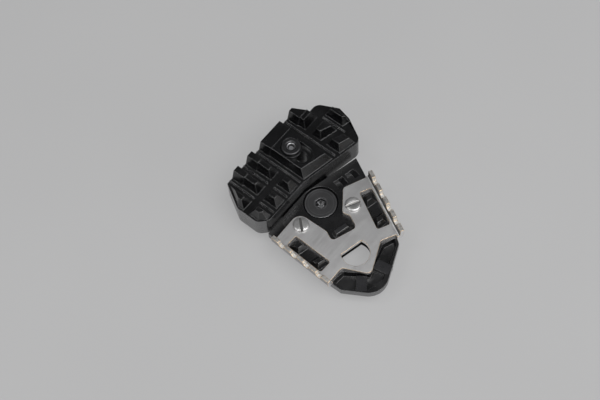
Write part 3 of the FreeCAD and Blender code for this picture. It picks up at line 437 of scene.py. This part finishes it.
def painted_rings_metal(name, base, roughness, node, rings):
    """Turned metal with painted glints and painted shade in rings round a node's upright axis: each ring
    is its reach and brightness.
    """
    made = Wires(name, base, roughness, metallic=1.0)
    ramp = made.add("ShaderNodeValToRGB")
    ramp.color_ramp.interpolation = "CONSTANT"
    stops = ramp.color_ramp.elements
    stops.remove(stops[1])
    widest = rings[-1][0]
    start = 0.0
    for end, brightness in rings:
        stop = stops.new(start / widest) if start else stops[0]
        stop.color = (*tinted(base, brightness), 1.0)
        start = end
    reach = made.reach(made.mapped(shift=-centre(node)))
    made.link(made.spread(reach, 0.0, 1.0, start=0.0, end=widest), ramp.inputs["Fac"])
    made.feed(ramp.outputs["Color"], "Base Color")
    marks = made.noise(made.place, scale=900.0, rough=0.6)
    made.vary_roughness(marks, roughness, low=-0.06, high=0.08)
    made.bump(marks, strength=0.10, distance=0.00003)
    return made.material


def turned_steel(name, base, roughness, floor, shade_top):
    """Lathe-turned screw steel: rings round each screw's own axis, and painted shade in its slot, from the
    slot's floor up.
    """
    made = Wires(name, base, roughness, metallic=1.0)
    attribute = made.add("ShaderNodeAttribute")
    attribute.attribute_name = SCREW_PLACE
    place = attribute.outputs["Vector"]
    rings = made.add("ShaderNodeTexNoise", Scale=2600.0, Detail=2.0)
    rings.noise_dimensions = "1D"
    made.link(made.reach(place), rings.inputs["W"])
    axes = made.add("ShaderNodeSeparateXYZ")
    made.link(place, axes.inputs["Vector"])
    unshaded = made.spread(axes.outputs["Z"], 0.0, 1.0, start=floor, end=shade_top)
    wear = made.noise(place, scale=700.0)
    shade = made.tones(wear, base, dark=0.72, light=1.15)
    made.feed(made.blend(unshaded, tinted(base, SLOT_PAINTED_SHADE), shade), "Base Color")
    made.vary_roughness(wear, roughness, low=0.10, high=-0.06)
    made.bump(rings.outputs["Fac"], strength=0.35, distance=0.00010)
    return made.material


def pale_floor(settings):
    """Matt paint for the floor and backdrop; seen or mirrored, it shows mostly its own even grey."""
    made = Wires("pale_floor", settings.floor_colour, FLOOR_ROUGHNESS, specular=FLOOR_SPECULAR)
    cloud = made.noise(made.place, scale=6.0, detail=2.0)
    paint, grey = (made.tones(cloud, base, dark=0.985, light=1.015)
                   for base in (settings.floor_colour, settings.backdrop_colour))
    made.feed(paint, "Base Color")
    glow = made.add("ShaderNodeEmission")
    made.link(grey, glow.inputs["Color"])
    path = made.add("ShaderNodeLightPath")
    seen = path.outputs["Is Camera Ray"]
    for ray in ("Is Glossy Ray", "Is Transmission Ray"):
        seen = made.larger(seen, path.outputs[ray])
    share = made.reckon("ShaderNodeMath", "MULTIPLY", seen, settings.backdrop_share)
    mix = made.add("ShaderNodeMixShader")
    made.link(share.outputs["Value"], mix.inputs["Fac"])
    made.link(made.shader.outputs["BSDF"], mix.inputs[1])
    made.link(glow.outputs["Emission"], mix.inputs[2])
    made.link(mix.outputs["Shader"], made.tree.nodes["Material Output"].inputs["Surface"])
    return made.material


def linked(name, data):
    """New object in the scene for a mesh, a lamp or a camera."""
    item = bpy.data.objects.new(name, data)
    bpy.context.scene.collection.objects.link(item)
    return item


def baked(piece):
    """Replace a piece's mesh by what its modifiers make of it."""
    bpy.context.view_layer.update()
    result = bpy.data.meshes.new_from_object(piece.evaluated_get(bpy.context.evaluated_depsgraph_get()))
    if not result.polygons:
        raise RuntimeError(f"{piece.name} has no faces")
    piece.modifiers.clear()
    piece.data = result
    return piece


def soften(piece, width, angle):
    """Eased edges and level faces for a piece that is still a stack of modifiers."""
    bevel = piece.modifiers.new("eased_edges", "BEVEL")
    bevel.width = width
    bevel.segments = EDGE_SEGMENTS
    bevel.limit_method = "ANGLE"
    bevel.angle_limit = angle
    bevel.use_clamp_overlap = False
    level = piece.modifiers.new("flat_faces", "WEIGHTED_NORMAL")
    level.mode = "FACE_AREA"
    level.weight = FLAT_FACE_WEIGHT
    return bevel


def meshed(name, shell):
    """Mesh of a finished shell."""
    mesh = bpy.data.meshes.new(name)
    shell.to_mesh(mesh)
    shell.free()
    mesh.shade_smooth()
    return mesh


def eased(node, name, width, finish, edge_finish):
    """Copy of a CAD node with its sharp edges eased and given their own finish."""
    shell = bmesh.new()
    shell.from_mesh(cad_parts[node].data)
    bmesh.ops.remove_doubles(shell, verts=shell.verts, dist=MERGE_DISTANCE)
    bmesh.ops.dissolve_limit(shell, angle_limit=FLAT_ANGLE, verts=shell.verts, edges=shell.edges)
    for face in shell.faces:
        face.material_index = 0
    piece = linked(name, meshed(name, shell))
    piece.data.materials.clear()
    piece.data.materials.append(finish)
    bevel = soften(piece, width, SHARP_ANGLE)
    bevel.material = added(piece, edge_finish)
    return baked(piece)


def added(piece, finish):
    """Add a finish to a piece and tell its index."""
    piece.data.materials.append(finish)
    return len(piece.data.materials) - 1


def dress(piece, slot, *nodes, body=MAIN_BODY):
    """Let a finished piece stand for its CAD nodes and move with their body."""
    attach(piece, body)
    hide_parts(*nodes)


def lathe(name, profile):
    """Mesh of a half section turned round Z; a point on the axis becomes a pole."""
    angles = [radians(360.0 * step / LATHE_SEGMENTS) for step in range(LATHE_SEGMENTS)]
    shell = bmesh.new()
    rings = []
    for radius, height in profile:
        around = angles if radius else angles[:1]
        spots = [(radius * cos(angle), radius * sin(angle), height) for angle in around]
        rings.append([shell.verts.new(spot) for spot in spots])
    for low, high in zip(rings, rings[1:]):
        for step in range(LATHE_SEGMENTS):
            after = step + 1
            corners = [low[step % len(low)], low[after % len(low)]]
            corners += [high[after % len(high)], high[step % len(high)]]
            shell.faces.new(list(dict.fromkeys(corners)))
    return meshed(name, shell)


def slotted_screw(sizes, low, top):
    """One slotted screw standing on the origin's axis, its slot along X."""
    head, thread = sizes.screw_head / 2, sizes.screw_thread / 2
    rise = top - SHEET_TOP
    shank = [(0.0, low), (thread, low), (thread, SHEET_TOP)]
    rim = [(across * head, SHEET_TOP + up * rise) for across, up in HEAD_RIM]
    screw = linked("slotted_screw", lathe("slotted_screw", [*shank, *rim, (0.0, top)]))
    past_head = 2.4 * head
    slot = Matrix.Diagonal((past_head, sizes.screw_slot, 2.0 * sizes.screw_slot_deep, 1.0))
    shell = bmesh.new()
    bmesh.ops.create_cube(shell, size=1.0, matrix=Matrix.Translation((0.0, 0.0, top)) @ slot)
    cutter = bpy.data.meshes.new("slot_cutter")
    shell.to_mesh(cutter)
    shell.free()
    tool = linked("slot_cutter", cutter)
    cut = screw.modifiers.new("slot", "BOOLEAN")
    cut.object = tool
    cut.solver = "EXACT"
    soften(screw, sizes.sheet_edge * SCREW_EDGE_SHARE, SCREW_SHARP_ANGLE)
    baked(screw)
    bpy.data.objects.remove(tool)
    return screw


def screw_tree():
    """Geometry nodes that set one screw at two places, each with its own turn, and give both one finish.
    """
    tree = bpy.data.node_groups.new("slotted_screws", "GeometryNodeTree")
    sockets = (("Screw", "Geometry"), ("Left Place", "Vector"), ("Right Place", "Vector"),
               ("Left Turn", "Float"), ("Right Turn", "Float"), ("Finish", "Material"))
    for name, kind in sockets:
        tree.interface.new_socket(name, in_out="INPUT", socket_type=f"NodeSocket{kind}")
    tree.interface.new_socket("Screws", in_out="OUTPUT", socket_type="NodeSocketGeometry")

    def add(kind):
        return tree.nodes.new(kind)

    def link(output, socket):
        tree.links.new(output, socket)

    given, made = add("NodeGroupInput"), add("NodeGroupOutput")
    place = add("GeometryNodeStoreNamedAttribute")
    place.data_type = "FLOAT_VECTOR"
    place.inputs["Name"].default_value = SCREW_PLACE
    link(given.outputs["Screw"], place.inputs["Geometry"])
    link(add("GeometryNodeInputPosition").outputs["Position"], place.inputs["Value"])
    spots = add("GeometryNodeMeshLine")
    spots.mode = "END_POINTS"
    spots.inputs["Count"].default_value = 2
    link(given.outputs["Left Place"], spots.inputs["Start Location"])
    link(given.outputs["Right Place"], spots.inputs["Offset"])
    turn = add("GeometryNodeSwitch")
    turn.input_type = "FLOAT"
    link(add("GeometryNodeInputIndex").outputs["Index"], turn.inputs["Switch"])
    link(given.outputs["Left Turn"], turn.inputs["False"])
    link(given.outputs["Right Turn"], turn.inputs["True"])
    angles = add("ShaderNodeCombineXYZ")
    link(turn.outputs["Output"], angles.inputs["Z"])
    turned = add("FunctionNodeEulerToRotation")
    link(angles.outputs["Vector"], turned.inputs["Euler"])
    both = add("GeometryNodeInstanceOnPoints")
    link(spots.outputs["Mesh"], both.inputs["Points"])
    link(place.outputs["Geometry"], both.inputs["Instance"])
    link(turned.outputs["Rotation"], both.inputs["Rotation"])
    real = add("GeometryNodeRealizeInstances")
    link(both.outputs["Instances"], real.inputs["Geometry"])
    paint = add("GeometryNodeSetMaterial")
    link(real.outputs["Geometry"], paint.inputs["Geometry"])
    link(given.outputs["Finish"], paint.inputs["Material"])
    link(paint.outputs["Geometry"], made.inputs["Screws"])
    return tree


def tread_screws(sizes, finish):
    """Both slotted screws of the tread plate as one mesh, at the places of their CAD nodes."""
    low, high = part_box("tread_screw_left")
    left, right = centre("tread_screw_left"), centre("tread_screw_right")
    piece = slotted_screw(sizes, low[2], high[2])
    piece.name = "tread_screws"
    piece.data.materials.clear()
    piece.data.materials.append(finish)
    values = {
        "Left Place": (left.x, left.y, 0.0),
        "Right Place": (right.x, right.y, 0.0),
        "Left Turn": sizes.left_slot_turn + EXTENSION_TURN,
        "Right Turn": sizes.right_slot_turn + EXTENSION_TURN,
        "Finish": finish,
    }
    pattern = piece.modifiers.new("two_screws", "NODES")
    pattern.node_group = screw_tree()
    for socket in pattern.node_group.interface.items_tree:
        if socket.name in values:
            pattern[socket.identifier] = values[socket.name]
    return baked(piece)


def mark_flange_painted_light(piece, tip, notch, inner, outer):
    """Paint light and shade on the flanges with copies of the steel: greyer tips, bright notches as
    painted glints, and inner and outer faces darkened as painted shade.
    """
    middle = centre("tread_plate")
    bend, above = (SHEET_TOP + rise for rise in BEND_RISE)
    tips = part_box("tread_plate")[1][2] - TIP_DEPTH
    turns = (FLANGE_SLANT - EXTENSION_TURN, -FLANGE_SLANT - EXTENSION_TURN)
    runs = [Vector((sin(turn), cos(turn), 0.0)) for turn in turns]
    for face in piece.data.polygons:
        inwards = face.normal.dot(face.center - middle) < 0.0
        if bend < face.center.z < above and inwards and 0.0 < face.normal.z < MOSTLY_LEVEL:
            face.material_index = inner
        if face.center.z < above or face.material_index:
            continue
        if face.normal.z > MOSTLY_LEVEL:
            face.material_index = tip if face.center.z > tips else notch
        elif any(abs(face.normal.dot(run)) > ALONG_FLANGE for run in runs):
            face.material_index = notch
        else:
            face.material_index = inner if inwards else outer


def mark_painted_recess_shade(piece, index, axis, reach):
    """Paint shade on the faces of a recess round an upright axis, with a darker, duller black of their
    own.
    """
    below = CARRIER_TOP - RECESS_SHADE_MARGIN
    for face in piece.data.polygons:
        if (face.center - axis).xy.length < reach and face.center.z < below:
            face.material_index = index


def mark_bar_highlight(piece, index):
    """Paint a highlight on the top of the bar in the centre notch, with a lighter black of its own."""
    low, high = (CARRIER_TOP + rise for rise in BAR_RISE)
    for face in piece.data.polygons:
        if face.normal.z > LEVEL and low < face.center.z < high and face.material_index == 0:
            face.material_index = index


def mark_wall_reflection(piece, index, front=True):
    """Paint a reflection on the upright faces with a lighter black of their own, with or without those
    that face the front.
    """
    for face in piece.data.polygons:
        upright = abs(face.normal.z) < NEARLY_UPRIGHT and (front or face.normal.y > FACING_FRONT)
        if upright and face.material_index == 0:
            face.material_index = index


class PEDAL_OT_step_pad(bpy.types.Operator):
    """Finish the ribbed step pad"""

    bl_idname = "pedal.step_pad"
    bl_label = "Step Pad"

    def execute(self, context):
        finish, sizes = context.scene.pedal_finish, context.scene.pedal_sizes
        base, rough = finish.pad_colour, finish.pad_roughness
        black = satin_black("pad_satin_black", base, rough, ior=PAD_IOR)
        # Painted highlight: a lighter, shinier grey on the eased edges
        edge_highlight = painted_edge_highlight("pad_edge_highlight", finish.edge_highlight_colour, rough - PAD_EDGE_GLOSS)
        # Painted reflection: a lighter black on the upright walls, except those facing the front
        wall_reflection = satin_black("pad_wall_reflection", tinted(base, WALL_PAINTED_REFLECTION), rough, ior=PAD_WALL_IOR)
        pad = eased("step_pad", "step_pad_finish", sizes.edge, black, edge_highlight)
        mark_wall_reflection(pad, added(pad, wall_reflection), front=False)
        dress(pad, "pad_black", "step_pad")
        return {"FINISHED"}


class PEDAL_OT_carrier(bpy.types.Operator):
    """Finish the extension's black base and the clamp plate below it"""

    bl_idname = "pedal.carrier"
    bl_label = "Carrier and Clamp Plate"

    def execute(self, context):
        finish, sizes = context.scene.pedal_finish, context.scene.pedal_sizes
        base, rough = finish.carrier_colour, finish.pad_roughness
        # Painted highlight on the tops of the nose's ribs
        black = satin_black("carrier_satin_black", base, rough + CARRIER_MATT, ribs=NOSE_RIBS)
        # Painted highlight: a lighter, shinier grey on the eased edges
        edge_highlight = painted_edge_highlight("carrier_edge_highlight", finish.edge_highlight_colour, rough)
        # Painted shade: a darker, duller black for the recesses round the clamp screw and the eye
        recess_shade = satin_black("painted_recess_shade", tinted(base, RECESS_PAINTED_SHADE), RECESS_SHADE_ROUGHNESS, ior=RECESS_SHADE_IOR)
        # Painted highlight: a lighter black on the top of the bar in the centre notch
        top_highlight = satin_black("bar_top_painted_highlight", tinted(base, BAR_PAINTED_HIGHLIGHT), rough + BAR_HIGHLIGHT_MATT)
        # Painted reflection: a lighter black on the upright walls
        wall_reflection = satin_black("carrier_wall_reflection", tinted(base, WALL_PAINTED_REFLECTION), rough, ior=CARRIER_WALL_IOR)
        carrier = eased("carrier", "carrier_finish", sizes.edge, black, edge_highlight)
        dark = added(carrier, recess_shade)
        mark_painted_recess_shade(carrier, dark, centre("clamp_screw"), CLAMP_RECESS_SHADE_REACH)
        mark_painted_recess_shade(carrier, dark, on_extension(EYE_CENTRE), EYE_RECESS_SHADE_REACH)
        mark_bar_highlight(carrier, added(carrier, top_highlight))
        mark_wall_reflection(carrier, added(carrier, wall_reflection))
        dress(carrier, "carrier_black", "carrier")
        clamp = eased("clamp_plate", "clamp_plate_finish", sizes.edge, black, edge_highlight)
        dress(clamp, "carrier_black", "clamp_plate")
        return {"FINISHED"}


class PEDAL_OT_tread_plate(bpy.types.Operator):
    """Finish the toothed stainless plate"""

    bl_idname = "pedal.tread_plate"
    bl_label = "Tread Plate"

    def execute(self, context):
        finish, sizes = context.scene.pedal_finish, context.scene.pedal_sizes
        base, rough = finish.steel_colour, finish.steel_roughness
        steel = brushed_steel("tread_brushed_steel", base, rough, -EXTENSION_TURN)
        edge = machined("tread_cut_edge", finish.cut_colour, rough - CUT_POLISH)
        plate = eased("tread_plate", "tread_plate_finish", sizes.sheet_edge, steel, edge)
        # Lit and shaded copies of the steel that paint light and shade on the flanges
        flange_painted_finishes = (
            machined("tooth_tip_painted_tone", finish.tip_painted_colour, rough + TIP_MATT),
            machined("tooth_notch_painted_glint", finish.notch_glint_colour, rough + NOTCH_MATT),
            machined("flange_inner_face_painted_shade", tinted(base, INNER_FACE_PAINTED_SHADE), rough - CUT_POLISH),
            machined("flange_outer_face_painted_shade", tinted(base, OUTER_FACE_PAINTED_SHADE), rough - CUT_POLISH),
        )
        mark_flange_painted_light(plate, *[added(plate, flange_painted_finish) for flange_painted_finish in flange_painted_finishes])
        dress(plate, "tread_steel", "tread_plate")
        return {"FINISHED"}


class PEDAL_OT_screws(bpy.types.Operator):
    """Finish the screws, the washer and the nut"""

    bl_idname = "pedal.screws"
    bl_label = "Screws"

    def execute(self, context):
        finish, sizes = context.scene.pedal_finish, context.scene.pedal_sizes
        top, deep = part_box("tread_screw_left")[1][2], sizes.screw_slot_deep
        # Painted shade in the slots, from their floor to a third of their depth
        bright = turned_steel("tread_screw_steel", finish.screw_colour, TREAD_SCREW_ROUGHNESS,
                              floor=top - deep, shade_top=top - deep / 3)
        dress(tread_screws(sizes, bright), "screw_steel", "tread_screw_left", "tread_screw_right")
        base = finish.clamp_colour
        # Painted glints and painted shade in rings on the clamp screw and nut, with a painted highlight on
        # their edges
        clamp = painted_rings_metal("clamp_screw_painted_rings", base, CLAMP_ROUGHNESS, "clamp_screw", CLAMP_PAINTED_RINGS)
        clamp_edge_highlight = machined("clamp_screw_edge_highlight", tinted(base, CLAMP_EDGE_HIGHLIGHT), CLAMP_EDGE_ROUGHNESS)
        for node in ("clamp_screw", "clamp_nut"):
            piece = eased(node, f"{node}_finish", sizes.sheet_edge, clamp, clamp_edge_highlight)
            dress(piece, "screw_black", node)
        base = finish.oxide_colour
        # Painted glints and painted shade in rings on the slot screw and washer, with a painted highlight
        # on their edges
        oxide_rings = painted_rings_metal("black_oxide_painted_rings", base, OXIDE_ROUGHNESS, "slot_screw", OXIDE_PAINTED_RINGS)
        oxide_edge_highlight = machined("black_oxide_edge_highlight", tinted(base, OXIDE_EDGE_HIGHLIGHT), OXIDE_ROUGHNESS)
        for node in ("slot_screw", "slot_washer"):
            piece = eased(node, f"{node}_finish", sizes.sheet_edge, oxide_rings, oxide_edge_highlight)
            dress(piece, "screw_black", node, body=SLIDING_BODY)
        return {"FINISHED"}


class PEDAL_OT_stage(bpy.types.Operator):
    """Set up the floor, the soft light and the camera"""

    bl_idname = "pedal.stage"
    bl_label = "Stage"

    def execute(self, context):
        scene = context.scene
        scene.view_settings.view_transform = "Standard"
        low = CAD_BOX[0][2]
        mesh = lathe("floor", [(reach, low + rise) for reach, rise in FLOOR_SECTION])
        mesh.materials.append(pale_floor(scene.pedal_finish))
        linked("floor", mesh)
        studio_light(scene)
        photo_camera(scene, scene.pedal_sizes)
        return {"FINISHED"}


def softbox(name, place, size, watts):
    """Soft area lamp aimed at the pedal."""
    lamp = bpy.data.lights.new(name, "AREA")
    lamp.shape = "RECTANGLE"
    lamp.size, lamp.size_y = size
    lamp.energy = watts
    light = linked(name, lamp)
    away = (Vector(place) - Vector(LAMP_AIM)).normalized()
    light.matrix_world = Matrix.Translation(place) @ away.to_track_quat("Z", "Y").to_matrix().to_4x4()


def studio_light(scene):
    """Even grey surroundings with broad soft boxes."""
    world = bpy.data.worlds.new("studio")
    world.use_nodes = True
    background = world.node_tree.nodes["Background"]
    background.inputs["Color"].default_value = (*WORLD_COLOUR, 1.0)
    background.inputs["Strength"].default_value = WORLD_STRENGTH
    scene.world = world
    for lamp in LAMPS:
        softbox(*lamp)


def photo_camera(scene, sizes):
    """Camera at the photograph's angle, with the extension right of the middle."""
    level = Vector((cos(CAMERA_TURN), sin(CAMERA_TURN), 0.0))
    away = Vector((sin(CAMERA_TURN), -cos(CAMERA_TURN), 0.0))
    back = cos(CAMERA_RISE) * away + Vector((0.0, 0.0, sin(CAMERA_RISE)))
    upright = back.cross(level)
    right = cos(CAMERA_ROLL) * level + sin(CAMERA_ROLL) * upright
    up = cos(CAMERA_ROLL) * upright - sin(CAMERA_ROLL) * level
    pixel = sizes.camera_distance * SENSOR_WIDTH / (sizes.camera_lens * PICTURE_WIDTH)
    origin = Vector((*EXTENSION_PLACE, SHEET_TOP))
    aim = origin - right * ORIGIN_RIGHT * pixel + up * ORIGIN_DOWN * pixel
    data = bpy.data.cameras.new("photo_camera")
    data.lens = sizes.camera_lens
    data.sensor_width = SENSOR_WIDTH
    data.sensor_fit = "HORIZONTAL"
    data.clip_start = NEAR_CLIP
    camera = linked("photo_camera", data)
    turned = Matrix((right, up, back)).transposed().to_4x4()
    camera.matrix_world = Matrix.Translation(aim + back * sizes.camera_distance) @ turned
    scene.camera = camera


class PEDAL_PT_panel(bpy.types.Panel):
    """Sidebar panel that lists the pedal's pieces and finishes"""

    bl_idname = "PEDAL_PT_panel"
    bl_label = "Brake Pedal Extension"
    bl_space_type = "VIEW_3D"
    bl_region_type = "UI"
    bl_category = "Pedal"

    def draw(self, context):
        for operator in OPERATORS:
            self.layout.operator(operator.bl_idname)
        for group in (context.scene.pedal_finish, context.scene.pedal_sizes):
            for name in group.__annotations__:
                self.layout.prop(group, name)


OPERATORS = (PEDAL_OT_step_pad, PEDAL_OT_carrier, PEDAL_OT_tread_plate, PEDAL_OT_screws, PEDAL_OT_stage)
CLASSES = (PedalFinish, PedalSizes, *OPERATORS, PEDAL_PT_panel)


def register():
    """Add the classes and the scene's settings."""
    for item in CLASSES:
        bpy.utils.register_class(item)
    bpy.types.Scene.pedal_finish = PointerProperty(type=PedalFinish)
    bpy.types.Scene.pedal_sizes = PointerProperty(type=PedalSizes)


def unregister():
    """Take the settings and the classes away again."""
    del bpy.types.Scene.pedal_sizes
    del bpy.types.Scene.pedal_finish
    for item in reversed(CLASSES):
        bpy.utils.unregister_class(item)


def main():
    """Make every piece and the stage."""
    register()
    bpy.ops.pedal.step_pad()
    bpy.ops.pedal.carrier()
    bpy.ops.pedal.tread_plate()
    bpy.ops.pedal.screws()
    bpy.ops.pedal.stage()


if __name__ == "__main__":
    main()
